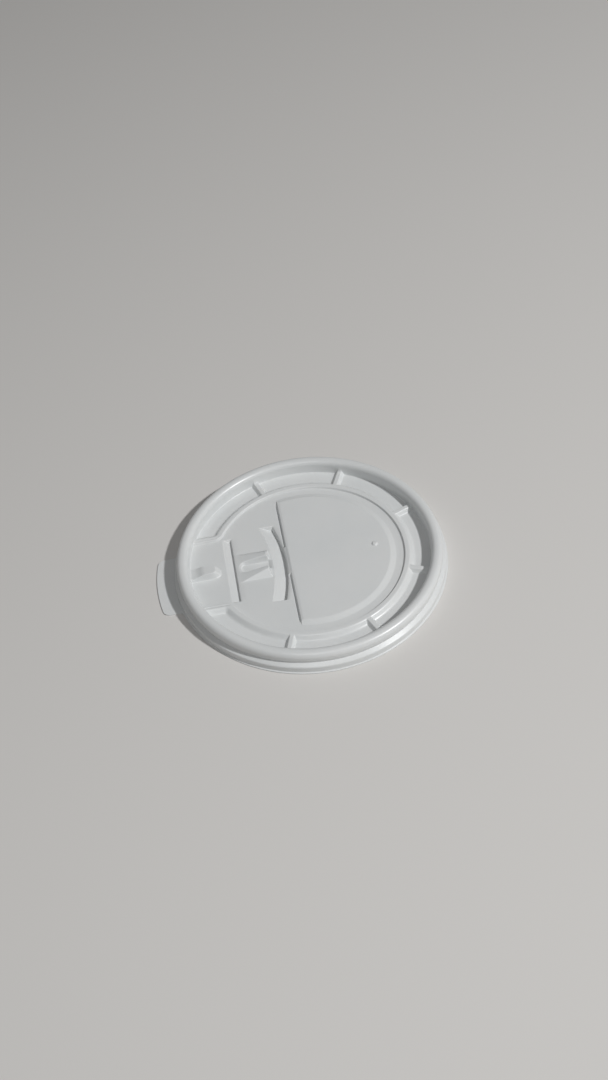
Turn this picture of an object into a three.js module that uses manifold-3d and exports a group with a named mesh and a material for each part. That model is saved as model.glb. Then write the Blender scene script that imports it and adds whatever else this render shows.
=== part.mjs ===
// Tear-back lid for a paper coffee cup, thermoformed from one sheet of white polystyrene.
// Millimetres, +Z up. The flange and the pull tab lie on z = 0, and the drink tab points along -X.
// The sheet is what is left of the moulded form once the same form, one wall smaller, is taken out of it.
import * as THREE from "three";
import { mergeVertices } from "three/addons/utils/BufferGeometryUtils.js";
import Module from "manifold-3d";

const wasm = await Module();
wasm.setup();

// Sheet and flange
const wall = 0.42;
const flangeRadius = 47;
const flangeWidth = 0.5;

// Skirt, which snaps over the cup's rolled rim at the crease
const skirtHeight = 2.6;
const creaseHeight = 3.45;
const creaseDepth = 1.55;
const shoulderRound = 0.6;
const creaseRound = 0.1;

// Crown, which sits on the cup's rolled rim
const crownHeight = 7.35;
const crownWidth = 3.9;
const crownBulge = 0.35;
const bulgeRound = 1;
const crownRound = 1.5;
const plugDraft = 0.2;
const plugFootRound = 0.4;

// Trough between the crown and the raised middle
const troughHeight = 2.4;
const troughWidth = 5.5;
const troughSlope = 1.5;

// Raised middle: a bead around a plateau, with a land that carries the drink tab out to the crown
const beadRise = 1.5;
const beadWidth = 1.6;
const beadRun = 0.3;
const plateauDrop = 0.75;
const landHalfWidth = 16.2;
const landRound = 2;

// Ribs across the trough
const ribAngles = [21.4, 65.1, 108.9];
const ribTopWidth = 1.2;
const ribRun = 1.3;
const ribDrop = 0.15;

// Drink tab, which ends at its hinge groove
const tabLength = 12.8;
const hingeWidth = 3.4;
const hingeEndGap = 0.4;
const hingeDepth = 1.2;
const hingeLitRun = 2.6;
const hingeRound = 0.8;
const grooveSteepRun = 0.35;

// Lock nub on the drink tab, against the crown
const nubLength = 9;
const nubFlat = 4.4;
const nubHalfWidth = 1.95;
const nubRise = 2.45;
const nubRun = 1.8;
const nubSlope = 0.3;
const nubRound = 1.3;

// Ramp with the socket that the nub locks into when the tab is folded back
const socketClearance = 0.4;
const socketEndClearance = 1.2;
const socketDrop = 0.55;
const socketRun = 0.45;
const rampLead = 0.4;
const rampLength = 10;
const rampRise = 2.15;
const rampHalfWidth = 4.2;
const rampRun = 2.1;
const rampEndRun = 1.3;

// Arched groove at the end of the ramp
const archWidth = 5.1;
const archRadius = 58.8;
const archHalfLength = 17;
const archDepth = 1.8;
const archLitRun = 3.9;
const archEndRun = 0.5;

// D-shaped panel beside the arched groove
const panelEdgeGap = 0.7;
const panelMargin = 3;
const panelRise = 0.7;
const panelRun = 2;
const panelEdgeRun = 0.3;
const panelRound = 1.3;

// Raised vent pip on the D panel
const pipMargin = 4.9;
const pipRadius = 0.85;
const pipRise = 0.5;

// Pull tab on the flange
const pullReach = 5.9;
const pullHalfWidth = 12.4;
const pullRound = 2.5;

// Facets
const facetError = 0.045;

// Sizes that follow from the ones above
const skirtRadius = flangeRadius - flangeWidth;
const creaseRadius = skirtRadius - creaseDepth;
const crownOuter = creaseRadius + crownBulge;
const crownInner = crownOuter - crownWidth;
const plugRadius = crownInner - plugDraft;
const beadHeight = troughHeight + beadRise;
const plateauHeight = beadHeight - plateauDrop;
const beadRadius = plugRadius - troughWidth - troughSlope;
const hingeLeft = tabLength - plugRadius;
const hingeRight = hingeLeft + hingeWidth;
const hingeHalfLength = landHalfWidth - beadWidth - hingeEndGap;
const nubTip = nubLength - plugRadius;
const nubSlopeStart = nubTip - nubFlat;
const socketHalfWidth = nubHalfWidth + socketClearance;
const socketStart = hingeLeft + hingeRight - nubTip - nubRun - socketEndClearance;
const rampStart = socketStart - rampLead;
const rampEnd = rampStart + rampLength;
const archLeft = rampEnd + rampEndRun;
const archRight = archLeft + archWidth;
const panelEdge = archRight + panelEdgeGap;
const panelRadius = beadRadius - beadWidth - panelMargin - panelRun;
const pipX = panelRadius - pipMargin;
const below = 1;
const above = 20;
const root = 0.1;

// How far the edge of a slope moves sideways when both its faces move in by one wall.
function slopeShift(rise, run) {
  return Math.tan(Math.atan2(rise, run) / 2);
}

function solid(geometry) {
  geometry.deleteAttribute("normal");
  geometry.deleteAttribute("uv");
  const merged = mergeVertices(geometry, 1e-4);
  const corners = merged.index.array;
  const triVerts = [];
  for (let i = 0; i < corners.length; i += 3) {
    const [a, b, c] = corners.subarray(i, i + 3);
    if (a !== b && b !== c && c !== a) triVerts.push(a, b, c);
  }
  const vertProperties = merged.attributes.position.array;
  return new wasm.Manifold(
    new wasm.Mesh({ numProp: 3, vertProperties, triVerts: new Uint32Array(triVerts) }),
  );
}

// The largest turn from one point of an arc to the next.
function facetTurn(radius) {
  return 2 * Math.acos(1 - Math.min(facetError / radius, 0.5));
}

function arc(x, y, radius, start, end) {
  const steps = Math.max(1, Math.ceil(Math.abs(end - start) / facetTurn(radius) - facetError));
  return Array.from({ length: steps + 1 }, (_, i) => {
    const angle = start + ((end - start) * i) / steps;
    return [x + radius * Math.cos(angle), y + radius * Math.sin(angle)];
  });
}

// A solid of revolution about Z from [radius, height] points, anticlockwise.
function turned(points) {
  const widest = Math.max(...points.map(([r]) => r));
  const steps = 4 * Math.ceil(Math.PI / 2 / facetTurn(widest));
  const outline = points.map(([r, z]) => new THREE.Vector2(r, z));
  return solid(new THREE.LatheGeometry(outline, steps).rotateX(Math.PI / 2));
}

function polygon(points) {
  return new THREE.Shape(points.map(([x, y]) => new THREE.Vector2(x, y)));
}

// A block whose flat top has the outline `shape`, and whose sides widen by `run` over `rise`.
function raised(shape, top, rise, run) {
  const block = new THREE.ExtrudeGeometry(shape, {
    depth: root,
    bevelThickness: rise,
    bevelSize: run,
    bevelSegments: 1,
  });
  return solid(block.translate(0, 0, top - rise - root));
}

// A cutter whose flat floor has the outline `shape`, and whose sides widen by `run` over `rise`.
function sunk(shape, floor, rise, run) {
  const block = new THREE.ExtrudeGeometry(shape, {
    depth: above,
    bevelThickness: rise,
    bevelSize: run,
    bevelSegments: 1,
  });
  return solid(block.translate(0, 0, floor + rise));
}

// A straight bar along Y from an XZ section.
function barAlongY(section, halfLength) {
  const block = new THREE.ExtrudeGeometry(section, { depth: 2 * halfLength, bevelEnabled: false });
  return solid(block.rotateX(Math.PI / 2).translate(0, halfLength, 0));
}

// A straight bar along X from a YZ section.
function barAlongX(section, start, end, angle) {
  const block = new THREE.ExtrudeGeometry(section, { depth: end - start, bevelEnabled: false });
  block.rotateX(Math.PI / 2).rotateZ(Math.PI / 2).translate(start, 0, 0);
  return solid(block.rotateZ(THREE.MathUtils.degToRad(angle)));
}

// A rectangle with rounded corners.
function roundedBox(left, right, halfWidth, radius) {
  const round = Math.min(radius, halfWidth, (right - left) / 2);
  const quarter = Math.PI / 2;
  return polygon([
    ...arc(right - round, round - halfWidth, round, -quarter, 0),
    ...arc(right - round, halfWidth - round, round, 0, quarter),
    ...arc(left + round, halfWidth - round, round, quarter, 2 * quarter),
    ...arc(left + round, round - halfWidth, round, 2 * quarter, 3 * quarter),
  ]);
}

// The outline of the raised middle: a circle with a straight land out to `reach` along -X.
function keyhole(radius, halfWidth, round, reach) {
  const centreY = halfWidth + round;
  const centreX = -Math.sqrt((radius + round) ** 2 - centreY ** 2);
  const turn = Math.atan2(centreY, centreX);
  return polygon([
    [-reach, -halfWidth],
    ...arc(centreX, -centreY, round, Math.PI / 2, Math.PI - turn),
    ...arc(0, 0, radius, -turn, turn),
    ...arc(centreX, centreY, round, turn - Math.PI, -Math.PI / 2),
    [-reach, halfWidth],
  ]);
}

// The point where two lines meet, each moved to its right by `inset`.
function insetCorner(before, corner, after, inset) {
  const lines = [
    [before, corner],
    [corner, after],
  ].map(([[x0, y0], [x1, y1]]) => {
    const length = Math.hypot(x1 - x0, y1 - y0);
    const normal = [(y1 - y0) / length, (x0 - x1) / length];
    return { normal, offset: normal[0] * x0 + normal[1] * y0 + inset };
  });
  const [a, b] = lines;
  const cross = a.normal[0] * b.normal[1] - a.normal[1] * b.normal[0];
  return [
    (a.offset * b.normal[1] - b.offset * a.normal[1]) / cross,
    (b.offset * a.normal[0] - a.offset * b.normal[0]) / cross,
  ];
}

// The points of a corner rounded to `radius`.
function roundedCorner(before, corner, after, radius) {
  const [p, c, n] = [before, corner, after].map(([x, y]) => new THREE.Vector2(x, y));
  const back = p.clone().sub(c);
  const ahead = n.clone().sub(c);
  const half = Math.acos(back.dot(ahead) / back.length() / ahead.length()) / 2;
  const reach = Math.min(radius / Math.tan(half), back.length() / 2, ahead.length() / 2);
  const round = reach * Math.tan(half);
  const toCentre = back.clone().normalize().add(ahead.clone().normalize()).setLength(round / Math.sin(half));
  const centre = c.clone().add(toCentre);
  const start = c.clone().add(back.setLength(reach)).sub(centre).angle();
  const end = c.clone().add(ahead.setLength(reach)).sub(centre).angle();
  const sweep = Math.atan2(Math.sin(end - start), Math.cos(end - start));
  return arc(centre.x, centre.y, round, start, start + sweep);
}

// The rim's section: [radius, height, rounding], from the foot of the skirt to the middle.
// A rounding is positive where the sheet bends over the form, and negative where it bends into it.
function rimCorners() {
  const creaseToCrown = crownHeight - crownRound;
  return [
    [skirtRadius, -above, 0],
    [skirtRadius, skirtHeight, shoulderRound],
    [creaseRadius, creaseHeight, -creaseRound],
    [crownOuter, (creaseHeight + creaseToCrown) / 2, bulgeRound],
    [crownOuter, crownHeight, crownRound],
    [crownInner, crownHeight, crownRound],
    [plugRadius, troughHeight, -plugFootRound],
    [-above, troughHeight, 0],
  ];
}

// The rim and the trough's floor, with every face moved in by `inset`.
function rim(inset) {
  const corners = rimCorners();
  const moved = corners.slice(1, -1).map(([r, z, round], i) => {
    const [x, y] = insetCorner(corners[i], [r, z], corners[i + 2], -inset);
    return [x, y, round > 0 ? Math.max(round - inset, root) : inset - round];
  });
  const foot = [moved[0][0], -below];
  const middle = [0, troughHeight - inset];
  const path = [foot, ...moved, middle];
  const points = moved.flatMap(([x, y, round], i) => roundedCorner(path[i], [x, y], path[i + 2], round));
  return turned([[0, -below], foot, ...points, middle]);
}

// Raised middle with its bead, before the features on it.
function middle(inset) {
  const side = inset * slopeShift(beadRise, troughSlope);
  const reach = crownOuter - crownWidth / 2;
  const shape = keyhole(beadRadius - side, landHalfWidth - side, landRound + side, reach);
  const grow = inset * slopeShift(plateauDrop, beadRun) - beadWidth - beadRun;
  const floor = keyhole(beadRadius + grow, landHalfWidth + grow, landRound - grow, reach);
  const block = raised(shape, beadHeight - inset, beadRise, troughSlope);
  const insideCrown = turned([
    [0, -below],
    [reach, -below],
    [reach, beadHeight],
    [0, beadHeight],
  ]);
  return block.subtract(sunk(floor, plateauHeight - inset, plateauDrop, beadRun)).intersect(insideCrown);
}

function panel(inset) {
  const side = inset * slopeShift(panelRise, panelRun);
  const edge = panelEdge + inset * slopeShift(panelRise, panelEdgeRun);
  const top = plateauHeight + panelRise - inset;
  const radius = panelRadius - side;
  const round = panelRound;
  const turnX = edge + round;
  const turnY = Math.sqrt((radius - round) ** 2 - turnX ** 2);
  const turn = Math.atan2(turnY, turnX);
  const shape = polygon([
    ...arc(turnX, -turnY, round, Math.PI, 2 * Math.PI - turn),
    ...arc(0, 0, radius, -turn, turn).slice(1, -1),
    ...arc(turnX, turnY, round, turn, Math.PI),
  ]);
  const face = polygon([
    [edge - panelEdgeRun, top - panelRise],
    [flangeRadius, top - panelRise],
    [flangeRadius, top + above],
    [edge, top + above],
    [edge, top],
  ]);
  return raised(shape, top, panelRise, panelRun).intersect(barAlongY(face, flangeRadius));
}

function rib(angle, inset) {
  const top = beadHeight - ribDrop - inset;
  const half = ribTopWidth / 2 - inset * slopeShift(beadRise, ribRun);
  const foot = troughHeight - inset - root;
  const run = (ribRun * (top - foot)) / beadRise;
  const section = polygon([
    [-half - run, foot],
    [half + run, foot],
    [Math.max(half, root), top],
    [-Math.max(half, root), top],
  ]);
  return barAlongX(section, beadRadius - beadWidth / 2, crownInner + inset + root, angle);
}

function nub(inset) {
  const side = inset * slopeShift(nubRise, nubRun);
  const top = plateauHeight + nubRise - inset;
  const shape = roundedBox(-crownInner - nubRun, nubTip - side, nubHalfWidth - side, nubRound - side);
  const reach = flangeRadius + nubSlopeStart;
  const slope = polygon([
    [-flangeRadius, top - reach * nubSlope],
    [nubSlopeStart, top],
    [nubSlopeStart, top + above],
    [-flangeRadius, top + above],
  ]);
  return raised(shape, top, nubRise, nubRun).subtract(barAlongY(slope, flangeRadius));
}

function ramp(inset) {
  const side = inset * slopeShift(rampRise, rampRun);
  const endSide = inset * slopeShift(rampRise, rampEndRun);
  const top = plateauHeight + rampRise - inset;
  const end = rampEnd - endSide;
  const start = rampStart + inset * slopeShift(rampRise, rampEnd - rampStart);
  const base = plateauHeight - inset;
  const section = polygon([
    [start, base],
    [end + rampEndRun, base],
    [end, top],
  ]);
  const shape = roundedBox(rampStart - rampRun, rampEnd + rampRun, rampHalfWidth - side, root);
  return raised(shape, top, rampRise, rampRun).intersect(barAlongY(section, flangeRadius));
}

function socket(inset) {
  const grow = inset * slopeShift(rampRise, socketRun) - socketRun;
  const round = socketHalfWidth + grow;
  const shape = roundedBox(socketStart - grow, archLeft, round, round);
  return sunk(shape, plateauHeight - socketDrop - inset, rampRise, socketRun);
}

// A cutter's XZ section: a long slope down from the left edge, a floor and a steep right side.
function grooveSection(left, right, litRun, depth, inset) {
  const mouth = plateauHeight - inset;
  const floor = mouth - depth;
  const gentle = inset * slopeShift(depth, litRun);
  const steep = inset * slopeShift(depth, grooveSteepRun);
  return [
    [left - gentle, mouth + above],
    [left - gentle, mouth],
    [left + litRun - gentle, floor],
    [right - grooveSteepRun + steep, floor],
    [right + steep, mouth],
    [right + steep, mouth + above],
  ];
}

function hingeGroove(inset) {
  const section = polygon(grooveSection(hingeLeft, hingeRight, hingeLitRun, hingeDepth, inset));
  const grow = inset * slopeShift(hingeDepth, grooveSteepRun) - grooveSteepRun;
  const [left, right] = [hingeLeft - hingeWidth, hingeRight + hingeWidth];
  const shape = roundedBox(left, right, hingeHalfLength + grow, hingeRound);
  const ends = sunk(shape, plateauHeight - hingeDepth - inset, hingeDepth, grooveSteepRun);
  return barAlongY(section, hingeHalfLength + hingeWidth).intersect(ends);
}

function archGroove(inset) {
  const centre = archRight - archRadius;
  const section = grooveSection(archLeft, archRight, archLitRun, archDepth, inset);
  const ring = section.map(([x, z]) => [x - centre, z]);
  const grow = inset * slopeShift(archDepth, archEndRun) - archEndRun;
  const [left, right] = [archLeft - archWidth, archRight + archWidth];
  const shape = roundedBox(left, right, archHalfLength + grow, root);
  const ends = sunk(shape, plateauHeight - archDepth - inset, archDepth, archEndRun);
  return turned([...ring, ring[0]]).translate([centre, 0, 0]).intersect(ends);
}

function pip(inset) {
  const radius = pipRadius - inset;
  const base = plateauHeight + panelRise - inset;
  const dome = arc(0, 0, radius, 0, Math.PI / 2).map(([r, z]) => [r, base + (z * pipRise) / radius]);
  dome[dome.length - 1][0] = 0;
  return turned([[0, base - root], [radius, base - root], ...dome]).translate([pipX, 0, 0]);
}

// Everything under the moulded surface, with each face moved in by `inset`.
function form(inset) {
  const sides = ribAngles.flatMap((angle) => [angle, -angle]);
  const blocks = [middle(inset), panel(inset), ramp(inset), nub(inset), pip(inset)];
  const raisedForm = [...blocks, ...sides.map((angle) => rib(angle, inset))].reduce(
    (whole, block) => whole.add(block),
    rim(inset),
  );
  return [hingeGroove(inset), archGroove(inset), socket(inset)].reduce(
    (whole, cutter) => whole.subtract(cutter),
    raisedForm,
  );
}

// The flat flange around the skirt's foot, with the pull tab.
function flange() {
  const ring = [
    [skirtRadius - wall, 0],
    [flangeRadius, 0],
    [flangeRadius, wall],
    [skirtRadius - wall, wall],
    [skirtRadius - wall, 0],
  ];
  const reach = flangeRadius + pullReach;
  const cornerY = pullHalfWidth - pullRound;
  const cornerX = -Math.sqrt((reach - pullRound) ** 2 - cornerY ** 2);
  const turn = Math.atan2(cornerY, cornerX);
  const shape = polygon([
    [-flangeRadius / 2, pullHalfWidth],
    ...arc(cornerX, cornerY, pullRound, Math.PI / 2, turn),
    ...arc(0, 0, reach, turn, 2 * Math.PI - turn).slice(1, -1),
    ...arc(cornerX, -cornerY, pullRound, 2 * Math.PI - turn, Math.PI * 1.5),
    [-flangeRadius / 2, -pullHalfWidth],
  ]);
  const tab = solid(new THREE.ExtrudeGeometry(shape, { depth: wall, bevelEnabled: false }));
  const inside = turned([
    [0, -below],
    [skirtRadius - wall, -below],
    [skirtRadius - wall, 2 * wall],
    [0, 2 * wall],
  ]);
  return turned(ring).add(tab.subtract(inside));
}

// Cuts away what reaches below the surface that the lid stands on.
function aboveGround(block) {
  const ground = new THREE.BoxGeometry(4 * flangeRadius, 4 * flangeRadius, above);
  return block.subtract(solid(ground.translate(0, 0, -above / 2)));
}

function lidGeometry() {
  const outer = aboveGround(form(0)).add(flange());
  const mesh = outer.subtract(form(wall)).getMesh();
  const geometry = new THREE.BufferGeometry();
  geometry.setAttribute("position", new THREE.BufferAttribute(mesh.vertProperties, 3));
  geometry.setIndex(new THREE.BufferAttribute(mesh.triVerts, 1));
  geometry.computeVertexNormals();
  return geometry;
}

const polystyrene = new THREE.MeshStandardMaterial({ color: 0xf0f0ee, roughness: 0.42, metalness: 0 });
const lid = new THREE.Mesh(lidGeometry(), polystyrene);
lid.name = "lid";
// The origin is under the middle of the lid's outline, which the pull tab makes longer on one side.
lid.position.x = pullReach / 2;

const part = new THREE.Group();
part.name = "cup_lid";
part.add(lid);

export default part;
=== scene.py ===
"""Looks of the tear-back lid: one fine mesh of its sheet, the plastic, a pale floor and soft light.

The lid is drawn in millimetres about the round lid's own axis, and moved to the part's frame at the end.
"""

import math

import bpy
import numpy as np
from mathutils import Matrix, Vector
from mathutils.geometry import delaunay_2d_cdt


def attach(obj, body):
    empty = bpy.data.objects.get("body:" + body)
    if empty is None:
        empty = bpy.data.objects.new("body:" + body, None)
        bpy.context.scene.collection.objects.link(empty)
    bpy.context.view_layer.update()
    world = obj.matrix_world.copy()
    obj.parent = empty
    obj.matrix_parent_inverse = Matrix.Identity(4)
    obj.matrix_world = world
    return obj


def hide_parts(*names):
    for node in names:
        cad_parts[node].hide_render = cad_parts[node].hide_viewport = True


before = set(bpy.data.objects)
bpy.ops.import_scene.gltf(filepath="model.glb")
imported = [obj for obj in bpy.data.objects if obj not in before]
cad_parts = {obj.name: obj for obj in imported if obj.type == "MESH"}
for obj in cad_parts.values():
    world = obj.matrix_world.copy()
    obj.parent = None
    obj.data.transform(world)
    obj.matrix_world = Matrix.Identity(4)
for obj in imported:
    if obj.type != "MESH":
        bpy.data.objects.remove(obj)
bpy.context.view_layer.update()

MM = 0.001

# Sheet and flange
WALL = 0.42
FLANGE_RADIUS = 47.0
EDGE_ROUND = 0.12
FLANGE_FILLET = 0.25

# Skirt and crown
SKIRT_RADIUS = 46.5
SKIRT_HEIGHT = 2.6
SHOULDER_ROUND = 0.6
FOLD_RADIUS = 44.95
FOLD_HEIGHT = 3.45
FOLD_ROUND = 0.12
CROWN_OUTER = 45.3
CROWN_INNER = 41.4
CROWN_HEIGHT = 7.35
CROWN_ROUND = 1.8
BULGE_HEIGHT = 4.65
BULGE_ROUND = 1.0
PLUG_RADIUS = 41.2
PLUG_FOOT_ROUND = 0.4
FLOOR_RADIUS = PLUG_RADIUS - PLUG_FOOT_ROUND

# Trough, bead and plateau
TROUGH_HEIGHT = 2.4
TROUGH_RUN = 1.5
BEAD_HEIGHT = 3.9
BEAD_RADIUS = 34.2
BEAD_WIDTH = 1.6
BEAD_RUN = 0.3
PLATEAU = 3.15
TROUGH_SLOPE = (BEAD_HEIGHT - TROUGH_HEIGHT) / TROUGH_RUN
BEAD_SLOPE = (BEAD_HEIGHT - PLATEAU) / BEAD_RUN
LAND_HALF = 16.2
LAND_ROUND = 2.0

# Ribs across the trough
RIB_ANGLES = (21.4, 65.1, 108.9)
RIB_TOP_WIDTH = 1.4
RIB_RUN = 1.0
RIB_HEIGHT = 3.75
RIB_FOOT = 0.6
RIB_SLOPE = (BEAD_HEIGHT - TROUGH_HEIGHT) / RIB_RUN
RIB_START = BEAD_RADIUS - BEAD_WIDTH / 2 + 0.5
RIB_START_SLOPE = 2

# D-shaped panel
PANEL_FOOT = -7.35
PANEL_RADIUS = 27.6
PANEL_RISE = 0.7
PANEL_RUN = 2.0
PANEL_EDGE_SLOPE = 2.6
PANEL_SHOULDER = -6.35
PANEL_SHOULDER_SLOPE = 0.25
CREASE_LEFT = -8.0
CREASE_LEFT_SLOPE = 2
CREASE_DEPTH = 0.75
CREASE_END = 27.6
CREASE_END_SLOPE = 0.3
CREASE_NEAR_SLOPE = 1
BEVEL_HALF = 6.2
BEVEL_SLOPE = 0.5
BEVEL_END_SLOPE = 1.2
BEVEL_RIGHT = -6.7

# Hinge groove
HINGE_LEFT = -28.4
HINGE_RIGHT = -25.1
HINGE_SHOULDER = 0.35
HINGE_HALF = 14.2
HINGE_DEPTH = 1.2
HINGE_RUN = 2.6
STEEP_SLOPE = 3.6
SHOULDER_SLOPE = 0.45
HINGE_END_RUN = 0.7

# Arched groove
ARCH_RIGHT = -7.35
ARCH_SHOULDER = 0.6
ARCH_WIDTH = 5.1
ARCH_RADIUS = 58.8
ARCH_HALF = 17.0
ARCH_DEPTH = 1.8
ARCH_RUN = 3.9
ARCH_END_RUN = 0.9
ARCH_CENTRE = ARCH_RIGHT - ARCH_RADIUS

# Ramp and socket
RAMP_START = -24.6
RAMP_END = -14.5
RAMP_RISE = 2.15
RAMP_HALF = 3.6
RAMP_RUN = 2.6
RAMP_END_RUN = 0.9
SOCKET_START = -24.2
SOCKET_HALF = 2.35
SOCKET_DROP = 0.55
SOCKET_RUN = 0.45
SOCKET_SLOPE = RAMP_RISE / SOCKET_RUN
SOCKET_LIP = 0.7
SOCKET_LIP_INSIDE = SOCKET_LIP / 3
SOCKET_LEAD_SLOPE = 0.55
SOCKET_END = -13.1
SOCKET_END_SLOPE = 0.6

# Lock nub
NUB_TIP = -32.2
NUB_HALF = 1.95
NUB_RISE = 2.45
NUB_RUN = 0.6
NUB_TIP_RUN = 1.6
NUB_FILLET = 0.8
NUB_SLOPE_START = -36.6
NUB_SLOPE = 0.5
NUB_END_SLOPE = 0.2
NUB_END_DROP = 0.5
NUB_ROUND = 1.0
NUB_FOOT = 0.7

# Vent pip
PIP_X = 22.7
PIP_RADIUS = 1.05
PIP_SLOPE = 1.6
PIP_RISE = 0.5

# Score lines along the drink tab
SCORE_HALF = 15.3
SCORE_LEFT = -38.2
SCORE_RIGHT = -28.4
SCORE_WIDTH = 0.16
SCORE_DEPTH = 0.1
SCORE_FADE = 0.4

# Pull tab
PULL_RADIUS = 52.9
PULL_HALF = 12.4
PULL_ROUND = 2.5
PULL_FOOT = 1.2

# The round lid's axis in the part's frame
AXIS_X = (PULL_RADIUS - FLANGE_RADIUS) / 2

# Softness of the bends, as the height over which two faces blend
SOFT_TROUGH = 0.5
SOFT_BEAD = 0.35
SOFT_PLATEAU = 0.15
SOFT_RIB = 0.25
SOFT_PANEL = 0.07
SOFT_PANEL_EDGE = 0.12
SOFT_BEVEL = 0.1
SOFT_GROOVE = 0.3
SOFT_RAMP = 0.2
SOFT_SOCKET = 0.45
SOFT_NUB = 0.4
SOFT_PIP = 0.2

# Spacing of the mesh's points
ROW_STEP = 0.7
FINE_STEP = 0.4
FILL_STEP = 1.5
PATCH_STEP = 0.22
UNDER_STEP = 0.45
EDGE_STEP = 0.1
STEEP_STEP = 0.12
UNDER_EDGE_STEP = 0.25
PIP_STEP = 0.2
PIP_INNER = 0.15
NUB_CORNER_POINTS = 12
OUTLINE_STEP = 1
OUTLINE_CORNER_STEP = 0.1
NORMAL_STEP = 0.02
FILL_CELL = 0.45 * FILL_STEP
TOUCHING = 1e-6
MERGED = 1e-3

# How far rows of points reach past a feature
WIDE_MARGIN = 0.6
MARGIN = 0.4
ROUND_MARGIN = 0.3
NARROW_MARGIN = 0.2
EDGE_MARGIN = 0.15
WALL_MARGIN = 0.1
NUB_MARGIN = 0.5
ARCH_LEFT_MARGIN = 0.8
ARCH_RIGHT_MARGIN = 1.2
STEEP_FOOT_MARGIN = 0.25
STEEP_TOP_MARGIN = 0.35

# The rim's points: how many around, the degrees of turn for each, and where the pull tab begins
RIM_SEGMENTS = 288
RIM_CLEAR = 0.25
RIM_TURN = 12
UNDER_RIM_TURN = 24
LEAST_ROUND = 0.1
PULL_TURN = (-1.4, 3.6)
PULL_POINTS = 18
QUARTER = np.radians([0, 30, 60, 90])
FINE_QUARTER = np.radians([0, 22.5, 45, 67.5, 90])
PLUG_SHARES = (0.25, 0.5, 0.75)
FLANGE_SHARES = (0.3, 0.6, 0.85)

# The sheet's finish: its clouds, forming waves, orange peel and rubs, with heights in metres
CLOUD_DARK = (0.725, 0.742, 0.742, 1)
CLOUD_LIGHT = (0.75, 0.762, 0.76, 1)
CLOUD_SCALE = 45
GLOSSY = 0.29
DULL = 0.35
WAVE_SCALE = 110
WAVE_HEIGHT = 0.00006
PEEL_SCALE = 1500
PEEL_HEIGHT = 0.000006
RUB_TURN = 0.6
RUB_SCALE = (30, 420, 60)
RUB_ROUGHNESS = 0.1

# Floor
FLOOR_HALF = 3.0
FLOOR_COLOUR = (0.7, 0.685, 0.665, 1)

# The photograph's camera: angles in degrees, distance in metres, the rest in pixels
CAMERA_TILT = 47.77
CAMERA_ROLL = -7.01
CAMERA_TURN = -4.12
CAMERA_DISTANCE = 0.4287
CAMERA_FOCAL = 1250.0
AIM_X = 310.2
AIM_Y = 562.5
IMAGE_WIDTH = 608
IMAGE_HEIGHT = 1080
SENSOR = 36

# Light: azimuth and altitude in degrees, distance and size in metres, power in watts
KEY_LAMP = (-30, 47, 1.5, 0.09, 13.8)
FILL_LAMP = (-100, 62, 0.6, 0.25, 0.4)
WORLD_STRENGTH = 0.15


def soft_max(a, b, soft):
    overlap = np.clip(soft - np.abs(a - b), 0, None)
    return np.maximum(a, b) + overlap**2 / (4 * soft)


def soft_min(a, b, soft):
    return -soft_max(-a, -b, soft)


def face(distance, slope, height, inset):
    """Height of a sloping face that reaches `height` where distance is 0, once it moves in by `inset`."""
    return height + slope * distance - inset * math.hypot(1, slope)


def land_corner():
    """Centre and turning angle of the bend where the round bead runs out along the land."""
    y = LAND_HALF + LAND_ROUND
    x = -math.sqrt((BEAD_RADIUS + LAND_ROUND) ** 2 - y**2)
    return x, y, math.atan2(y, x)


def inside_bead(x, y):
    """Distance inwards from the bead's outer edge."""
    cx, cy, turn = land_corner()
    y = np.abs(y)
    circle = BEAD_RADIUS - np.hypot(x, y)
    whole = np.where(x < 0, np.maximum(circle, LAND_HALF - y), circle)
    bend = np.hypot(x - cx, y - cy) - LAND_ROUND
    return np.where((x > cx) & (np.arctan2(y, x) > turn), bend, whole)


def fillet(gap, radius):
    """Height that a fillet of that radius adds at that distance from a wall."""
    part = np.clip(gap / radius, 0, 1)
    return radius * (1 - np.sqrt(np.clip(1 - (1 - part) ** 2, 0, 1)))


def wall_fillet(x, y, radius):
    return fillet(PLUG_RADIUS - np.hypot(x, y), radius)


def middle_base(x, y, inset):
    depth = inside_bead(x, y)
    outer = soft_min(face(depth, TROUGH_SLOPE, BEAD_HEIGHT, inset), BEAD_HEIGHT - inset, SOFT_BEAD)
    outer = soft_max(outer, TROUGH_HEIGHT - inset, SOFT_TROUGH)
    inner = face(BEAD_WIDTH - depth, BEAD_SLOPE, BEAD_HEIGHT, inset)
    inner = soft_max(inner, PLATEAU - inset, SOFT_PLATEAU)
    return soft_min(outer, inner, SOFT_BEAD)


def rib(x, y, inset, angle):
    turn = math.radians(angle)
    along = x * math.cos(turn) + y * math.sin(turn)
    across = np.abs(y * math.cos(turn) - x * math.sin(turn))
    side = face(RIB_TOP_WIDTH / 2 - across, RIB_SLOPE, RIB_HEIGHT, inset)
    top = RIB_HEIGHT - inset + wall_fillet(x, y, RIB_FOOT)
    return soft_min(side, top, SOFT_RIB) - RIB_START_SLOPE * np.clip(RIB_START - along, 0, None)


def panel_bevel(x, y, inset):
    """The gentle face that joins the middle of the panel's straight edge to the arched groove."""
    gentle = face(x - BEVEL_RIGHT, BEVEL_SLOPE, PLATEAU + PANEL_RISE, inset)
    right = np.hypot(x - ARCH_CENTRE, y) - ARCH_RADIUS
    steep = face(right + ARCH_SHOULDER, STEEP_SLOPE, PLATEAU - ARCH_SHOULDER * SHOULDER_SLOPE, inset)
    ends = face(BEVEL_HALF - np.abs(y), BEVEL_END_SLOPE, PLATEAU, inset)
    return soft_min(soft_min(gentle, steep, SOFT_BEVEL), ends, SOFT_BEVEL)


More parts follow.
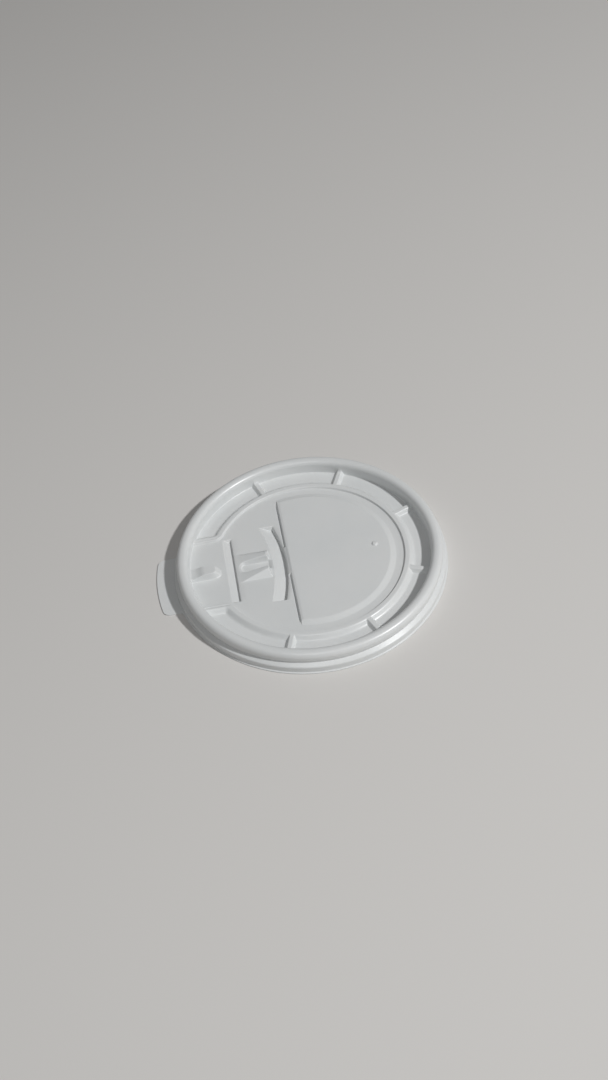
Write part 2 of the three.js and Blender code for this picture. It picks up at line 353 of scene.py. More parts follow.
def panel(x, y, inset):
    top = PLATEAU + PANEL_RISE
    round_side = face(PANEL_RADIUS - np.hypot(x, y), PANEL_RISE / PANEL_RUN, top, inset)
    edge = face(x - PANEL_FOOT, PANEL_EDGE_SLOPE, PLATEAU, inset)
    shoulder = face(x - PANEL_SHOULDER, PANEL_SHOULDER_SLOPE, top, inset)
    edge = soft_min(edge, shoulder, SOFT_PANEL_EDGE)
    edge = soft_max(edge, panel_bevel(x, y, inset), SOFT_BEVEL)
    return soft_min(soft_min(round_side, top - inset, SOFT_PANEL), edge, SOFT_PANEL)


def panel_crease(x, y, inset):
    """The fine valley along the foot of the panel's straight edge."""
    left = face(CREASE_LEFT - x, CREASE_LEFT_SLOPE, PLATEAU, inset)
    right = face(x - PANEL_FOOT, PANEL_EDGE_SLOPE, PLATEAU, inset)
    near = face(BEVEL_HALF - np.abs(y), CREASE_NEAR_SLOPE, PLATEAU, inset)
    far = face(np.abs(y) - CREASE_END, CREASE_END_SLOPE, PLATEAU, inset)
    walls = np.maximum(np.maximum(left, right), np.maximum(near, far))
    return np.maximum(walls, PLATEAU - CREASE_DEPTH - inset)


def ramp_faces(x, y, inset):
    top = PLATEAU + RAMP_RISE
    rise = face(x - RAMP_END, RAMP_RISE / (RAMP_END - RAMP_START), top, inset)
    side = face(RAMP_HALF - np.abs(y), RAMP_RISE / RAMP_RUN, top, inset)
    end = face(RAMP_END - x, RAMP_RISE / RAMP_END_RUN, top, inset)
    return rise, side, end


def ramp(x, y, inset):
    rise, side, end = ramp_faces(x, y, inset)
    return soft_min(soft_min(rise, side, SOFT_RAMP), end, SOFT_RAMP)


def outside_socket(x, y):
    centre = SOCKET_START + SOCKET_HALF
    return np.hypot(np.clip(centre - x, 0, None), y) - SOCKET_HALF


def socket_lip(x, y):
    """How far the rounded lip around the socket lies below the ramp's faces."""
    return fillet(outside_socket(x, y) + SOCKET_LIP_INSIDE, SOCKET_LIP)


def socket(x, y, inset):
    wall = face(outside_socket(x, y), SOCKET_SLOPE, PLATEAU + RAMP_RISE, inset)
    lead = face(SOCKET_START - x, SOCKET_LEAD_SLOPE, PLATEAU, inset)
    end = face(x - SOCKET_END, SOCKET_END_SLOPE, PLATEAU, inset)
    floor = PLATEAU - SOCKET_DROP - inset
    return np.maximum(soft_max(soft_max(wall, lead, SOFT_SOCKET), floor, SOFT_SOCKET), end)


def outside_nub(x, y):
    """Distance outwards from the edge of the nub's top, shortened at its sloping tip."""
    qx = (x - NUB_TIP) * NUB_RUN / NUB_TIP_RUN + NUB_ROUND
    qy = np.abs(y) - (NUB_HALF - NUB_ROUND)
    within = np.minimum(np.maximum(qx, qy), 0)
    return np.hypot(np.clip(qx, 0, None), np.clip(qy, 0, None)) + within - NUB_ROUND


def nub(x, y, inset):
    top = PLATEAU + NUB_RISE
    side = face(-outside_nub(x, y), NUB_RISE / NUB_RUN, top, inset)
    steep = face(x - NUB_SLOPE_START, NUB_SLOPE, top, inset)
    gentle = face(x - NUB_SLOPE_START, NUB_END_SLOPE, top - NUB_END_DROP, inset)
    slope = soft_max(steep, gentle, SOFT_NUB) + wall_fillet(x, y, NUB_FOOT)
    return soft_min(side, soft_min(slope, top - inset, SOFT_NUB), SOFT_NUB)


def nub_fillet(x, y):
    """Height of the round foot beside the nub's steep sides."""
    start = NUB_RUN * (1 - NUB_FILLET / NUB_RISE)
    fade = np.clip((NUB_TIP + NUB_ROUND - x) / NUB_ROUND, 0, 1)
    return fillet(outside_nub(x, y) - start, NUB_FILLET) * fade


def pip(x, y, inset):
    top = PLATEAU + PANEL_RISE + PIP_RISE
    out = np.hypot(x - PIP_X, y) - PIP_RADIUS
    side = face(-out, PIP_SLOPE, top - PIP_RISE, inset)
    return soft_min(side, top - inset, 2 * SOFT_PIP)


def groove(left, right, ends, run, depth, end_run, shoulder, inset):
    """A groove with a long face down from the left, a steep right side and steep ends."""
    # Outside its left edge the groove's face rises as steeply as the socket's wall.
    outside = face(-left, SOCKET_SLOPE, PLATEAU, inset)
    gentle = np.maximum(face(-left, depth / run, PLATEAU, inset), outside)
    steep = face(right + shoulder, STEEP_SLOPE, PLATEAU - shoulder * SHOULDER_SLOPE, inset)
    steep = soft_min(steep, face(right, SHOULDER_SLOPE, PLATEAU, inset), SOFT_GROOVE)
    end = face(ends, depth / end_run, PLATEAU, inset)
    walls = soft_max(steep, end, SOFT_GROOVE)
    return soft_max(soft_max(gentle, walls, SOFT_GROOVE), PLATEAU - depth - inset, SOFT_GROOVE)


def hinge_groove(x, y, inset):
    left, right = x - HINGE_LEFT, x - HINGE_RIGHT
    ends = np.abs(y) - HINGE_HALF
    return groove(left, right, ends, HINGE_RUN, HINGE_DEPTH, HINGE_END_RUN, HINGE_SHOULDER, inset)


def arch_groove(x, y, inset):
    right = np.hypot(x - ARCH_CENTRE, y) - ARCH_RADIUS
    left = right + ARCH_WIDTH
    ends = np.abs(y) - ARCH_HALF
    return groove(left, right, ends, ARCH_RUN, ARCH_DEPTH, ARCH_END_RUN, ARCH_SHOULDER, inset)


def score(x, y):
    """Depth of the fine cuts that the drink tab tears along."""
    ends = np.clip(np.minimum(x - SCORE_LEFT, SCORE_RIGHT - x) / SCORE_FADE, 0, 1)
    return SCORE_DEPTH * ends * np.clip(1 - np.abs(np.abs(y) - SCORE_HALF) / SCORE_WIDTH, 0, 1)


def rib_angles():
    return [side * angle for angle in RIB_ANGLES for side in (-1, 1)]


def height(x, y, inset):
    """Height of the moulded surface inside the plug wall, with every face moved in by `inset`."""
    z = middle_base(x, y, inset)
    for angle in rib_angles():
        z = soft_max(z, rib(x, y, inset, angle), SOFT_RIB)
    z = soft_max(z, ramp(x, y, inset) - socket_lip(x, y), SOFT_RAMP)
    z = soft_max(z + nub_fillet(x, y), nub(x, y, inset), SOFT_NUB)
    z = soft_min(z, hinge_groove(x, y, inset), SOFT_GROOVE)
    z = soft_min(z, arch_groove(x, y, inset), SOFT_GROOVE)
    z = soft_min(z, socket(x, y, inset), SOFT_SOCKET)
    z = soft_min(z, panel_crease(x, y, inset), SOFT_PANEL)
    z = soft_max(z, panel(x, y, inset), SOFT_PANEL)
    z = soft_max(z, pip(x, y, inset), SOFT_PIP)
    return z - score(x, y) if inset == 0 else z


def by_side(inset, top, under):
    """The first value on the sheet's top, the second underneath, where the mesh is coarser."""
    return top if inset == 0 else under


def bend_offsets(slope, low, high, soft_low, soft_high, inset):
    """Where rows go across a face, measured towards its top: over the bend at its foot and at its top."""
    shift = inset * (math.hypot(1, slope) - 1) / slope
    over = np.linspace(-1, 1, by_side(inset, 5, 3)) / slope
    rows = np.concatenate([low + shift + over * soft_low, high + shift + over * soft_high])
    return np.unique(np.round(rows, 3))


def line(start, end, step):
    count = max(2, round(math.dist(start, end) / step) + 1)
    return np.linspace(start, end, count)


def circle(centre, radius, start, end, step):
    count = max(4, round(abs(end - start) * radius / step) + 1)
    angles = np.linspace(start, end, count)
    return np.column_stack([centre[0] + radius * np.cos(angles), centre[1] + radius * np.sin(angles)])


def mirrored(rows):
    return rows + [row * (1, -1) for row in rows]


def floor_reach(y):
    """How far along X the flat floor reaches at that y."""
    return math.sqrt(FLOOR_RADIUS**2 - y**2)


def bead_row(inward):
    """Half of the line that lies `inward` of the bead's outer edge."""
    cx, cy, turn = land_corner()
    half, bend = LAND_HALF - inward, LAND_ROUND + inward
    run = line((-floor_reach(half), half), (cx, half), ROW_STEP)
    curve = circle((cx, cy), bend, -math.pi / 2, turn - math.pi, FINE_STEP)
    # The number of points stays the same from row to row, so that the rows line up.
    count = round(turn * BEAD_RADIUS / ROW_STEP)
    angles = np.linspace(turn, 0, count)
    ring = (BEAD_RADIUS - inward) * np.column_stack([np.cos(angles), np.sin(angles)])
    return np.concatenate([run, curve[1:], ring[1:]])


def bead_rows(inset):
    outer = bend_offsets(TROUGH_SLOPE, -TROUGH_RUN, 0, SOFT_TROUGH, SOFT_BEAD, inset)
    inner = BEAD_WIDTH - bend_offsets(BEAD_SLOPE, -BEAD_RUN, 0, SOFT_PLATEAU, SOFT_BEAD, inset)
    return mirrored([bead_row(d) for d in [*outer, *inner]])


def rib_rows(inset):
    foot = (TROUGH_HEIGHT - RIB_HEIGHT) / RIB_SLOPE
    rows = []
    for angle in rib_angles():
        turn = math.radians(angle)
        rotation = np.array([[math.cos(turn), math.sin(turn)], [-math.sin(turn), math.cos(turn)]])
        for offset in bend_offsets(RIB_SLOPE, foot, 0, SOFT_RIB, SOFT_RIB, inset):
            across = RIB_TOP_WIDTH / 2 - offset
            row = line((BEAD_RADIUS - BEAD_WIDTH / 2, across), (floor_reach(across), across), FINE_STEP)
            rows += [row @ rotation, row * (1, -1) @ rotation]
    return rows


def panel_rows(inset):
    arcs = bend_offsets(PANEL_RISE / PANEL_RUN, -PANEL_RUN, 0, SOFT_PANEL, SOFT_PANEL, inset)
    rows = []
    for offset in arcs:
        radius = PANEL_RADIUS - offset
        turn = math.acos(PANEL_FOOT / radius)
        rows.append(circle((0, 0), radius, -turn, turn, ROW_STEP))
    reach = math.sqrt((PANEL_RADIUS + PANEL_RUN) ** 2 - PANEL_FOOT**2)
    step = by_side(inset, EDGE_STEP, UNDER_EDGE_STEP)
    edge = np.arange(CREASE_LEFT - EDGE_MARGIN, PANEL_SHOULDER + ROUND_MARGIN, step)
    return rows + [line((x, -reach), (x, reach), FINE_STEP) for x in edge]


def patch_rows(left, right, low, high, inset):
    """Closely spaced lines along X, over a small feature with many faces."""
    step = by_side(inset, PATCH_STEP, UNDER_STEP)
    count = round((high - low) / step)
    return [line((left, y), (right, y), step) for y in np.linspace(low, high, count + 1)]


def ramp_rows(inset):
    half = RAMP_HALF + RAMP_RUN + WIDE_MARGIN
    step = by_side(inset, EDGE_STEP, UNDER_EDGE_STEP)
    ends = np.arange(RAMP_END - NARROW_MARGIN, RAMP_END + RAMP_END_RUN + NARROW_MARGIN, step)
    rows = [line((x, -half), (x, half), PATCH_STEP) for x in ends]
    return rows + patch_rows(RAMP_START - WIDE_MARGIN, SOCKET_END + MARGIN, -half, half, inset)


def socket_rows(inset):
    centre = SOCKET_START + SOCKET_HALF
    shift = inset * (math.hypot(1, SOCKET_SLOPE) - 1) / SOCKET_SLOPE
    rows = []
    for offset in np.linspace(-SOCKET_RUN - WALL_MARGIN, WALL_MARGIN, by_side(inset, 7, 4)) + shift:
        half = SOCKET_HALF + offset
        run = line((SOCKET_END, half), (centre, half), PATCH_STEP)
        bend = circle((centre, 0), half, math.pi / 2, 3 * math.pi / 2, PATCH_STEP)
        rows.append(np.concatenate([run, bend[1:-1], run[::-1] * (1, -1)]))
    return rows


def nub_rows(inset):
    half = NUB_HALF + NUB_RUN + NUB_FILLET + NARROW_MARGIN
    rows = patch_rows(-floor_reach(half), NUB_TIP + NUB_TIP_RUN + NUB_MARGIN, -half, half, inset)
    for offset in np.linspace(-NARROW_MARGIN, NUB_RUN + EDGE_MARGIN, by_side(inset, 11, 5)):
        turn = np.linspace(math.pi / 2, 0, NUB_CORNER_POINTS)
        bend = (NUB_ROUND + offset) * np.column_stack([np.cos(turn), np.sin(turn)])
        corner = (bend - (NUB_ROUND, NUB_ROUND)) * (NUB_TIP_RUN / NUB_RUN, 1) + (NUB_TIP, NUB_HALF)
        run = line((-floor_reach(NUB_HALF + offset), NUB_HALF + offset), corner[0], PATCH_STEP)
        front = line(corner[-1], corner[-1] * (1, -1), PATCH_STEP)
        rows += mirrored([run, corner[1:]]) + [front[1:-1]]
    return rows


def pip_rows(inset):
    radii = np.linspace(PIP_INNER, PIP_RADIUS + ROUND_MARGIN, by_side(inset, 7, 4))
    return [circle((PIP_X, 0), radius, 0, 2 * math.pi, PIP_STEP) for radius in radii]


def score_rows(inset):
    if inset > 0:
        return []
    offsets = np.array([-1, -0.5, 0, 0.5, 1]) * SCORE_WIDTH
    places = SCORE_HALF + offsets
    return mirrored([line((SCORE_LEFT, y), (SCORE_RIGHT, y), FINE_STEP) for y in places])


def steep_offsets(depth, shoulder, inset):
    """Where rows go across a groove's steep side and the shoulder above it."""
    step = by_side(inset, STEEP_STEP, UNDER_EDGE_STEP)
    return np.arange(-depth / STEEP_SLOPE - shoulder - STEEP_FOOT_MARGIN, STEEP_TOP_MARGIN, step)


def hinge_rows(inset):
    gentle = bend_offsets(HINGE_DEPTH / HINGE_RUN, -HINGE_RUN, 0, SOFT_GROOVE, SOFT_GROOVE, inset)
    steep = steep_offsets(HINGE_DEPTH, HINGE_SHOULDER, inset)
    half = HINGE_HALF + NARROW_MARGIN
    xs = [*(HINGE_LEFT - gentle), *(HINGE_RIGHT + steep)]
    rows = [line((x, -half), (x, half), FINE_STEP) for x in xs]
    low, high = HINGE_HALF - HINGE_END_RUN - MARGIN, HINGE_HALF + MARGIN
    ends = patch_rows(HINGE_LEFT - WIDE_MARGIN, HINGE_RIGHT + MARGIN, low, high, inset)
    return rows + mirrored(ends)


def arch_rows(inset):
    gentle = bend_offsets(ARCH_DEPTH / ARCH_RUN, -ARCH_RUN, 0, SOFT_GROOVE, SOFT_GROOVE, inset)
    steep = steep_offsets(ARCH_DEPTH, ARCH_SHOULDER, inset)
    radii = [*(ARCH_RADIUS - ARCH_WIDTH - gentle), *(ARCH_RADIUS + steep)]
    rows = []
    for radius in radii:
        turn = math.asin((ARCH_HALF + ROUND_MARGIN) / radius)
        rows.append(circle((ARCH_CENTRE, 0), radius, -turn, turn, ROW_STEP))
    right = ARCH_CENTRE + math.sqrt(ARCH_RADIUS**2 - ARCH_HALF**2)
    low, high = ARCH_HALF - ARCH_END_RUN - MARGIN, ARCH_HALF + MARGIN
    left = right - ARCH_WIDTH
    ends = patch_rows(left - ARCH_LEFT_MARGIN, right + ARCH_RIGHT_MARGIN, low, high, inset)
    return rows + mirrored(ends)


def all_rows(inset):
    makers = (bead_rows, rib_rows, panel_rows, ramp_rows, socket_rows)
    makers += (nub_rows, pip_rows, score_rows, hinge_rows, arch_rows)
    return [row for maker in makers for row in maker(inset)]


def rim_angles(rows):
    """Angles of the rim's points: evenly spread, with one wherever a row ends at the plug wall."""
    ends = np.array([point for row in rows for point in (row[0], row[-1])])
    hits = ends[np.hypot(*ends.T) > FLOOR_RADIUS - TOUCHING]
    pull = math.asin(PULL_HALF / FLANGE_RADIUS)
    tab = math.pi - pull + np.radians(np.linspace(*PULL_TURN, PULL_POINTS))
    wanted = np.concatenate([np.arctan2(hits[:, 1], hits[:, 0]), tab, -tab]) % (2 * math.pi)
    wanted = np.unique(np.round(wanted, 6))
    even = np.linspace(0, 2 * math.pi, RIM_SEGMENTS, endpoint=False)
    gap = np.abs((even[:, None] - wanted[None] + math.pi) % (2 * math.pi) - math.pi).min(axis=1)
    clear = gap > RIM_CLEAR * 2 * math.pi / RIM_SEGMENTS
    return np.sort(np.concatenate([wanted, even[clear]]))


def fill_points(taken):
    """Widely spaced points for the flat stretches, clear of the rows."""
    xs = np.arange(-FLOOR_RADIUS, FLOOR_RADIUS, FILL_STEP)
    grid = np.array([(x, y + (i % 2) * FILL_STEP / 2) for i, x in enumerate(xs) for y in xs])
    grid = grid[np.hypot(*grid.T) < FLOOR_RADIUS - FILL_STEP / 3]
    offsets = np.array([(i, j) for i in (-1, 0, 1) for j in (-1, 0, 1)])
    cells = np.floor(taken / FILL_CELL).astype(int)
    near = {tuple(key) for shift in offsets for key in cells + shift}
    keys = np.floor(grid / FILL_CELL).astype(int)
    return grid[[tuple(key) not in near for key in keys]]


def middle_mesh(rows, angles):
    """Points and triangles of the floor inside the plug wall. The points at the wall come first."""
    wall = FLOOR_RADIUS * np.column_stack([np.cos(angles), np.sin(angles)])
    points, edges = [wall], [(i, (i + 1) % len(wall)) for i in range(len(wall))]
    count = len(wall)
    for row in rows:
        row = row[np.hypot(*row.T) <= FLOOR_RADIUS + TOUCHING]
        points.append(row)
        edges += [(count + i, count + i + 1) for i in range(len(row) - 1)]
        count += len(row)
    taken = np.concatenate(points)
    everything = np.concatenate([taken, fill_points(taken)])
    flat = [Vector(p) for p in everything]
    found = delaunay_2d_cdt(flat, edges, [], 0, MERGED)
    xy = np.array([tuple(v) for v in found[0]])
    triangles = np.array([tuple(f) for f in found[2]])
    rim = np.full(len(angles), -1)
    for i, origins in enumerate(found[3]):
        for origin in origins:
            if origin < len(angles):
                rim[origin] = i
    return xy, triangles, rim


def slope_normals(xy, inset):
    """Normals of the height field, from its rise over a short step each way."""
    step = NORMAL_STEP
    x, y = xy.T
    dx = (height(x + step, y, inset) - height(x - step, y, inset)) / (2 * step)
    dy = (height(x, y + step, inset) - height(x, y - step, inset)) / (2 * step)
    normals = np.column_stack([-dx, -dy, np.ones(len(x))])
    return normals / np.linalg.norm(normals, axis=1)[:, None]


def moved_corner(before, corner, after, inset):
    """Where two lines meet once each has moved to its right by `inset`."""
    lines = []
    for (x0, y0), (x1, y1) in ((before, corner), (corner, after)):
        length = math.hypot(x1 - x0, y1 - y0)
        normal = ((y1 - y0) / length, (x0 - x1) / length)
        lines.append((*normal, normal[0] * x0 + normal[1] * y0 + inset))
    (a, b, p), (c, d, q) = lines
    cross = a * d - b * c
    return (p * d - q * b) / cross, (a * q - c * p) / cross


def rounded_corner(before, corner, after, radius, step):
    """Points of a corner rounded to `radius`, one for each `step` radians of turn."""
    before, corner, after = (np.array(p, float) for p in (before, corner, after))
    back, ahead = before - corner, after - corner
    back /= np.linalg.norm(back)
    ahead /= np.linalg.norm(ahead)
    half = math.acos(np.clip(back @ ahead, -1, 1)) / 2
    towards = (back + ahead) / np.linalg.norm(back + ahead)
    centre = corner + towards * radius / math.sin(half)
    start = corner + back * radius / math.tan(half) - centre
    end = corner + ahead * radius / math.tan(half) - centre
    sweep = math.atan2(start[0] * end[1] - start[1] * end[0], start @ end)
    count = max(2, math.ceil(abs(sweep) / step) + 1)
    angles = math.atan2(start[1], start[0]) + np.linspace(0, sweep, count)
    return centre + radius * np.column_stack([np.cos(angles), np.sin(angles)])


def rim_section(inset):
    """The rim's section as [radius, height] rows, from the plug wall out to the skirt's foot."""
    corners = [
        (PLUG_RADIUS, TROUGH_HEIGHT, 0),
        (CROWN_INNER, CROWN_HEIGHT, CROWN_ROUND),
        (CROWN_OUTER, CROWN_HEIGHT, CROWN_ROUND),
        (CROWN_OUTER, BULGE_HEIGHT, BULGE_ROUND),
        (FOLD_RADIUS, FOLD_HEIGHT, -FOLD_ROUND),
        (SKIRT_RADIUS, SKIRT_HEIGHT, SHOULDER_ROUND),
        (SKIRT_RADIUS, -CROWN_HEIGHT, 0),
    ]
    plain = [c[:2] for c in corners]
    moved = [moved_corner(*plain[i - 1 : i + 2], inset) for i in range(1, len(plain) - 1)]
    path = [plain[0], *moved, (moved[-1][0], -CROWN_HEIGHT)]
    step = math.radians(by_side(inset, RIM_TURN, UNDER_RIM_TURN))
    points = []
    for i in range(1, len(path) - 1):
        given = corners[i][2]
        radius = max(given - inset, LEAST_ROUND) if given > 0 else inset - given
        points.append(rounded_corner(*path[i - 1 : i + 2], radius, step))
    return np.concatenate(points)


def pull_outline(angles):
    """Radius of the flange's edge at each angle, out to the pull tab's rounded end."""
    corner_y = PULL_HALF - PULL_ROUND
    corner_x = -math.sqrt((PULL_RADIUS - PULL_ROUND) ** 2 - corner_y**2)
    turn = math.atan2(corner_y, corner_x)
    foot_y = PULL_HALF + PULL_FOOT
    foot_x = -math.sqrt((FLANGE_RADIUS + PULL_FOOT) ** 2 - foot_y**2)
    foot_turn = math.atan2(foot_y, foot_x)
    outline = np.concatenate([
        circle((0, 0), FLANGE_RADIUS, 0, foot_turn, OUTLINE_STEP),
        circle((foot_x, foot_y), PULL_FOOT, foot_turn - math.pi, -math.pi / 2, OUTLINE_CORNER_STEP),
        circle((corner_x, corner_y), PULL_ROUND, math.pi / 2, turn, OUTLINE_CORNER_STEP),
        circle((0, 0), PULL_RADIUS, turn, math.pi, OUTLINE_STEP),
    ])
    bearing = np.arctan2(outline[:, 1], outline[:, 0])
    folded = np.where(angles > math.pi, 2 * math.pi - angles, angles)
    return np.interp(folded, bearing, np.hypot(*outline.T))


def foot_rings(inset, angles):
    """Rings from the edge of the floor, around the fillet and up the plug wall."""
    radius = PLUG_FOOT_ROUND + inset
    rings = []
    for turn in FINE_QUARTER:
        r = FLOOR_RADIUS + radius * math.sin(turn)
        base = height(r * np.cos(angles), r * np.sin(angles), inset)
        rings.append((np.full(len(angles), r), base + radius * (1 - math.cos(turn))))
    top_r, top_z = rim_section(inset)[0]
    low_r, low_z = rings[-1]
    for share in PLUG_SHARES:
        rings.append((low_r + (top_r - low_r) * share, low_z + (top_z - low_z) * share))
    return rings


def even_rings(section, angles):
    return [(np.full(len(angles), r), np.full(len(angles), z)) for r, z in section]


def flange_rings(angles):
    """Rings from the skirt's outer foot, over the flange, around its edge and back to the inner foot."""
    edge = pull_outline(angles)
    flat = np.full(len(angles), WALL)
    outer, inner = SKIRT_RADIUS, SKIRT_RADIUS - WALL
    rings = []
    for turn in QUARTER:
        r = outer + FLANGE_FILLET * (1 - math.cos(turn))
        rings.append((np.full(len(angles), r), flat + FLANGE_FILLET * (1 - math.sin(turn))))
    start = outer + FLANGE_FILLET
    for share in FLANGE_SHARES:
        rings.append((start + (edge - EDGE_ROUND - start) * share, flat))
    for turn in QUARTER[::-1]:
        back = EDGE_ROUND * (1 - math.cos(turn))
        rings.append((edge - back, flat - EDGE_ROUND * (1 - math.sin(turn))))
    for turn in QUARTER:
        back = EDGE_ROUND * (1 - math.cos(turn))
        rings.append((edge - back, 0 * flat + EDGE_ROUND * (1 - math.sin(turn))))
    start = inner + FLANGE_FILLET
    for share in FLANGE_SHARES[::-1]:
        rings.append((start + (edge - EDGE_ROUND - start) * share, 0 * flat))
    for turn in QUARTER[::-1]:
        r = inner + FLANGE_FILLET * (1 - math.cos(turn))
        rings.append((np.full(len(angles), r), 0 * flat + FLANGE_FILLET * (1 - math.sin(turn))))
    return rings


def rim_rings(angles):
    """Every ring of the rim, from the floor's edge on top, around the flange, to its edge underneath."""
    top = foot_rings(0, angles) + even_rings(rim_section(0), angles)
    under = foot_rings(WALL, angles) + even_rings(rim_section(WALL), angles)
    return top + flange_rings(angles) + under[::-1]


def face_normals(points, triangles):
    """Normals of the points, from the faces around each of them."""
    a, b, c = (points[triangles[:, i]] for i in range(3))
    cross = np.cross(b - a, c - a)
    normals = np.zeros_like(points)
    for i in range(3):
        np.add.at(normals, triangles[:, i], cross)
    return normals / np.linalg.norm(normals, axis=1)[:, None]


def ring_triangles(rings, count):
    """Triangles between each ring and the next, for rings of `count` points."""
    around = np.arange(count)
    ahead = (around + 1) % count
    triangles = []
    for i in range(rings - 1):
        a, b = i * count + around, i * count + ahead
        c, d = b + count, a + count
        triangles += [np.column_stack([a, d, c]), np.column_stack([a, c, b])]
    return triangles


def facing_out(xy, faces, inset):
    """The floor's faces, each turned so that it looks away from the sheet."""
    a, b, c = (xy[faces[:, i]] for i in range(3))
    ab, ac = b - a, c - a
    upward = ab[:, 0] * ac[:, 1] - ab[:, 1] * ac[:, 0] > 0
    wanted = upward if inset == 0 else ~upward
    return np.where(wanted[:, None], faces, faces[:, ::-1])


def floor_side(inset, rows, angles, rim_start, free_start):
    """One side of the floor: its new points, its triangles, and each point's index and normal."""
    xy, faces, rim = middle_mesh(rows, angles)
    index = np.full(len(xy), -1)
    index[rim] = rim_start + np.arange(len(angles))
    free = index < 0
    index[free] = free_start + np.arange(free.sum())
    z = height(xy[:, 0], xy[:, 1], inset)
    added = np.column_stack([xy, z])[free]
    normals = slope_normals(xy, inset) * by_side(inset, 1, -1)
    return added, index[facing_out(xy, faces, inset)], index, normals


def sheet_arrays():
    """Points, triangles and normals of the whole sheet."""
    top_rows, under_rows = all_rows(0), all_rows(WALL)
    angles = rim_angles(top_rows + under_rows)
    rings = rim_rings(angles)
    cos, sin = np.cos(angles), np.sin(angles)
    points = np.concatenate([np.column_stack([r * cos, r * sin, z]) for r, z in rings])
    triangles = ring_triangles(len(rings), len(angles))
    smooth = []
    last = len(points) - len(angles)
    for inset, rows, start in ((0, top_rows, 0), (WALL, under_rows, last)):
        added, faces, index, normals = floor_side(inset, rows, angles, start, len(points))
        points = np.concatenate([points, added])
        triangles.append(faces)
        smooth.append((index, normals))
    triangles = np.concatenate(triangles)
    normals = face_normals(points, triangles)
    for index, smooth_normals in smooth:
        normals[index] = smooth_normals
    return points, triangles, normals


def mesh_object(name, points, triangles, normals):
    mesh = bpy.data.meshes.new(name)
    placed = (points + (AXIS_X, 0, 0)) * MM
    mesh.from_pydata(placed.tolist(), [], triangles.tolist())
    mesh.polygons.foreach_set("use_smooth", [True] * len(triangles))
    mesh.normals_split_custom_set_from_vertices(normals.tolist())
    mesh.update()
    piece = bpy.data.objects.new(name, mesh)
    bpy.context.scene.collection.objects.link(piece)
    return piece


def shader_node(tree, kind, links, **settings):
    """A new node, with its properties and plain inputs set, and the given inputs linked."""
    made = tree.nodes.new(kind)
    for key, value in settings.items():
        if hasattr(made, key):
            setattr(made, key, value)
        else:
            made.inputs[key].default_value = value
    for key, source in links.items():
        tree.links.new(source, made.inputs[key])
    return made


def noise(tree, place, scale, detail, roughness=0.5):
    settings = {"Scale": scale, "Detail": detail, "Roughness": roughness}
    return shader_node(tree, "ShaderNodeTexNoise", {"Vector": place}, **settings).outputs["Fac"]


def spread(tree, value, low, high, start=0.0, end=1.0):
    """`value` from start to end, spread over low to high."""
    settings = {"From Min": start, "From Max": end, "To Min": low, "To Max": high}
    return shader_node(tree, "ShaderNodeMapRange", {"Value": value}, **settings).outputs["Result"]


def bump(tree, value, depth, normal=None):
    links = {"Height": value} if normal is None else {"Height": value, "Normal": normal}
    return shader_node(tree, "ShaderNodeBump", links, Strength=1.0, Distance=depth).outputs["Normal"]


def sheet_tint(tree, cloud):
    """Faint cloudiness of the white."""
    share = spread(tree, cloud, 0, 1, 0.35, 0.65)
    tint = shader_node(tree, "ShaderNodeMix", {"Factor": share}, data_type="RGBA")
    tint.inputs[6].default_value = CLOUD_DARK
    tint.inputs[7].default_value = CLOUD_LIGHT
    return tint.outputs[2]


def sheet_roughness(tree, place, cloud):
    """A satin finish that varies with the cloudiness and is duller along a few long rubs."""
    stretched = shader_node(tree, "ShaderNodeMapping", {"Vector": place}, vector_type="POINT")
    stretched.inputs["Rotation"].default_value = (0, 0, RUB_TURN)
    stretched.inputs["Scale"].default_value = RUB_SCALE
    rubs = spread(tree, noise(tree, stretched.outputs["Vector"], 3, 4, 0.6), 0, 1, 0.62, 0.72)
    sockets = {0: rubs, 2: spread(tree, cloud, GLOSSY, DULL, 0.3, 0.7)}
    roughness = shader_node(tree, "ShaderNodeMath", sockets, operation="MULTIPLY_ADD")
    roughness.inputs[1].default_value = RUB_ROUGHNESS
    return roughness.outputs[0]


def sheet_relief(tree, place):
    """Soft waves from forming, with a fine orange peel on them."""
    waves = bump(tree, noise(tree, place, WAVE_SCALE, 2), WAVE_HEIGHT)
    return bump(tree, noise(tree, place, PEEL_SCALE, 2), PEEL_HEIGHT, waves)


def polystyrene_material():
    """Satin white sheet that lets a little light through."""
    material = bpy.data.materials.new("white_polystyrene")
    material.use_nodes = True
    tree = material.node_tree
    shader = tree.nodes["Principled BSDF"]
    place = tree.nodes.new("ShaderNodeTexCoord").outputs["Object"]
    cloud = noise(tree, place, CLOUD_SCALE, 3)
    tree.links.new(sheet_tint(tree, cloud), shader.inputs["Base Color"])
    tree.links.new(sheet_roughness(tree, place, cloud), shader.inputs["Roughness"])
    tree.links.new(sheet_relief(tree, place), shader.inputs["Normal"])
    shader.inputs["IOR"].default_value = 1.55
    shader.inputs["Subsurface Weight"].default_value = 0.12
    shader.inputs["Subsurface Radius"].default_value = (1, 0.95, 0.88)
    shader.inputs["Subsurface Scale"].default_value = 0.0009
    return material


def floor_material():
    material = bpy.data.materials.new("floor")
    material.use_nodes = True
    shader = material.node_tree.nodes["Principled BSDF"]
    shader.inputs["Base Color"].default_value = FLOOR_COLOUR
    shader.inputs["Roughness"].default_value = 0.9
    return material


def add_lid():
    lid = mesh_object("lid_sheet", *sheet_arrays())
    lid.data.materials.append(polystyrene_material())
    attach(lid, "root")
    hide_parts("lid")


def add_floor():
    mesh = bpy.data.meshes.new("floor")
    half = FLOOR_HALF
    corners = [(-half, -half, 0), (half, -half, 0), (half, half, 0), (-half, half, 0)]
    mesh.from_pydata(corners, [], [(0, 1, 2, 3)])
    floor = bpy.data.objects.new("floor", mesh)
    bpy.context.scene.collection.objects.link(floor)
    floor.data.materials.append(floor_material())


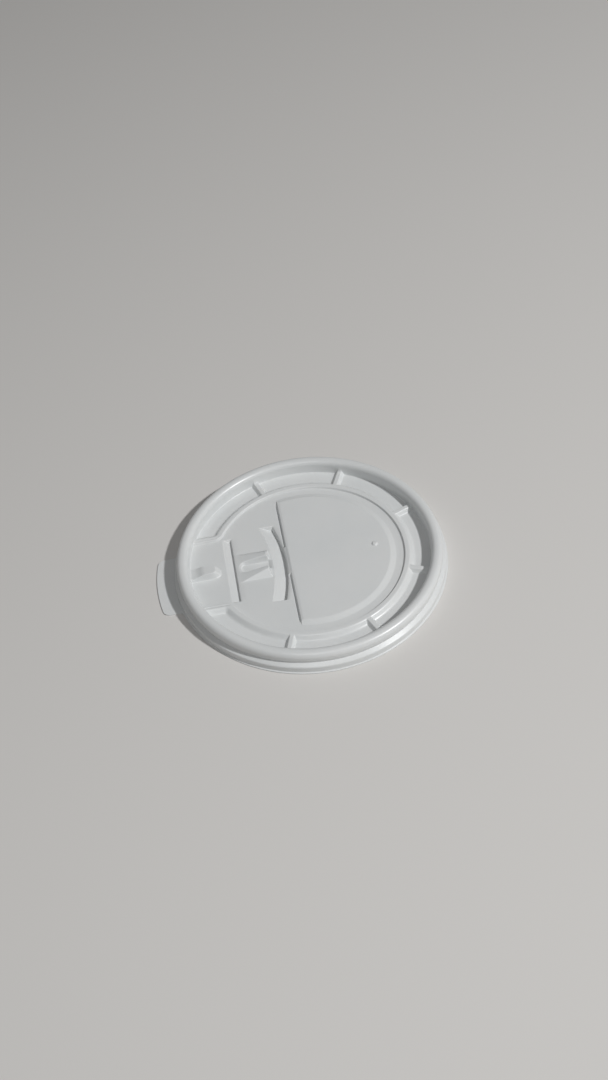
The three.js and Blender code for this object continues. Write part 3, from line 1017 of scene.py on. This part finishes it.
def camera_matrix():
    """Where the photograph was taken from, as fitted to the lid's circles, about the lid's axis."""
    tilt, roll = math.radians(CAMERA_TILT), math.radians(CAMERA_ROLL)
    forward = np.array([0, math.cos(tilt), -math.sin(tilt)])
    level = np.array([1.0, 0, 0])
    rise = np.cross(level, forward)
    right = math.cos(roll) * level + math.sin(roll) * rise
    up = math.cos(roll) * rise - math.sin(roll) * level
    shift_x = (AIM_X - IMAGE_WIDTH / 2) / CAMERA_FOCAL * CAMERA_DISTANCE
    shift_y = (IMAGE_HEIGHT / 2 - AIM_Y) / CAMERA_FOCAL * CAMERA_DISTANCE
    matrix = np.eye(4)
    place = -(CAMERA_DISTANCE * forward + shift_x * right + shift_y * up)
    matrix[:3] = np.column_stack([right, up, -forward, place])
    return Matrix(matrix.tolist())


def add_camera():
    data = bpy.data.cameras.new("camera")
    data.sensor_width = SENSOR
    data.lens = CAMERA_FOCAL / IMAGE_HEIGHT * SENSOR
    camera = bpy.data.objects.new("camera", data)
    bpy.context.scene.collection.objects.link(camera)
    turn = Matrix.Rotation(math.radians(CAMERA_TURN), 4, "Z")
    camera.matrix_world = Matrix.Translation((AXIS_X * MM, 0, 0)) @ turn @ camera_matrix()
    bpy.context.scene.camera = camera


def add_lamp(name, azimuth, altitude, distance, size, power):
    azimuth, altitude = math.radians(azimuth), math.radians(altitude)
    level = math.cos(altitude)
    direction = Vector((level * math.cos(azimuth), level * math.sin(azimuth), math.sin(altitude)))
    data = bpy.data.lights.new(name, "AREA")
    data.shape = "DISK"
    data.size = size
    data.energy = power
    lamp = bpy.data.objects.new(name, data)
    bpy.context.scene.collection.objects.link(lamp)
    lamp.location = direction * distance
    lamp.rotation_euler = direction.to_track_quat("Z", "Y").to_euler()


def add_world(strength):
    world = bpy.data.worlds.new("world")
    bpy.context.scene.world = world
    world.use_nodes = True
    background = world.node_tree.nodes["Background"]
    background.inputs["Color"].default_value = (1, 1, 1, 1)
    background.inputs["Strength"].default_value = strength


add_camera()
add_lid()
add_floor()
add_lamp("key", *KEY_LAMP)
add_lamp("front_fill", *FILL_LAMP)
add_world(WORLD_STRENGTH)
bpy.context.scene.view_settings.view_transform = "Standard"
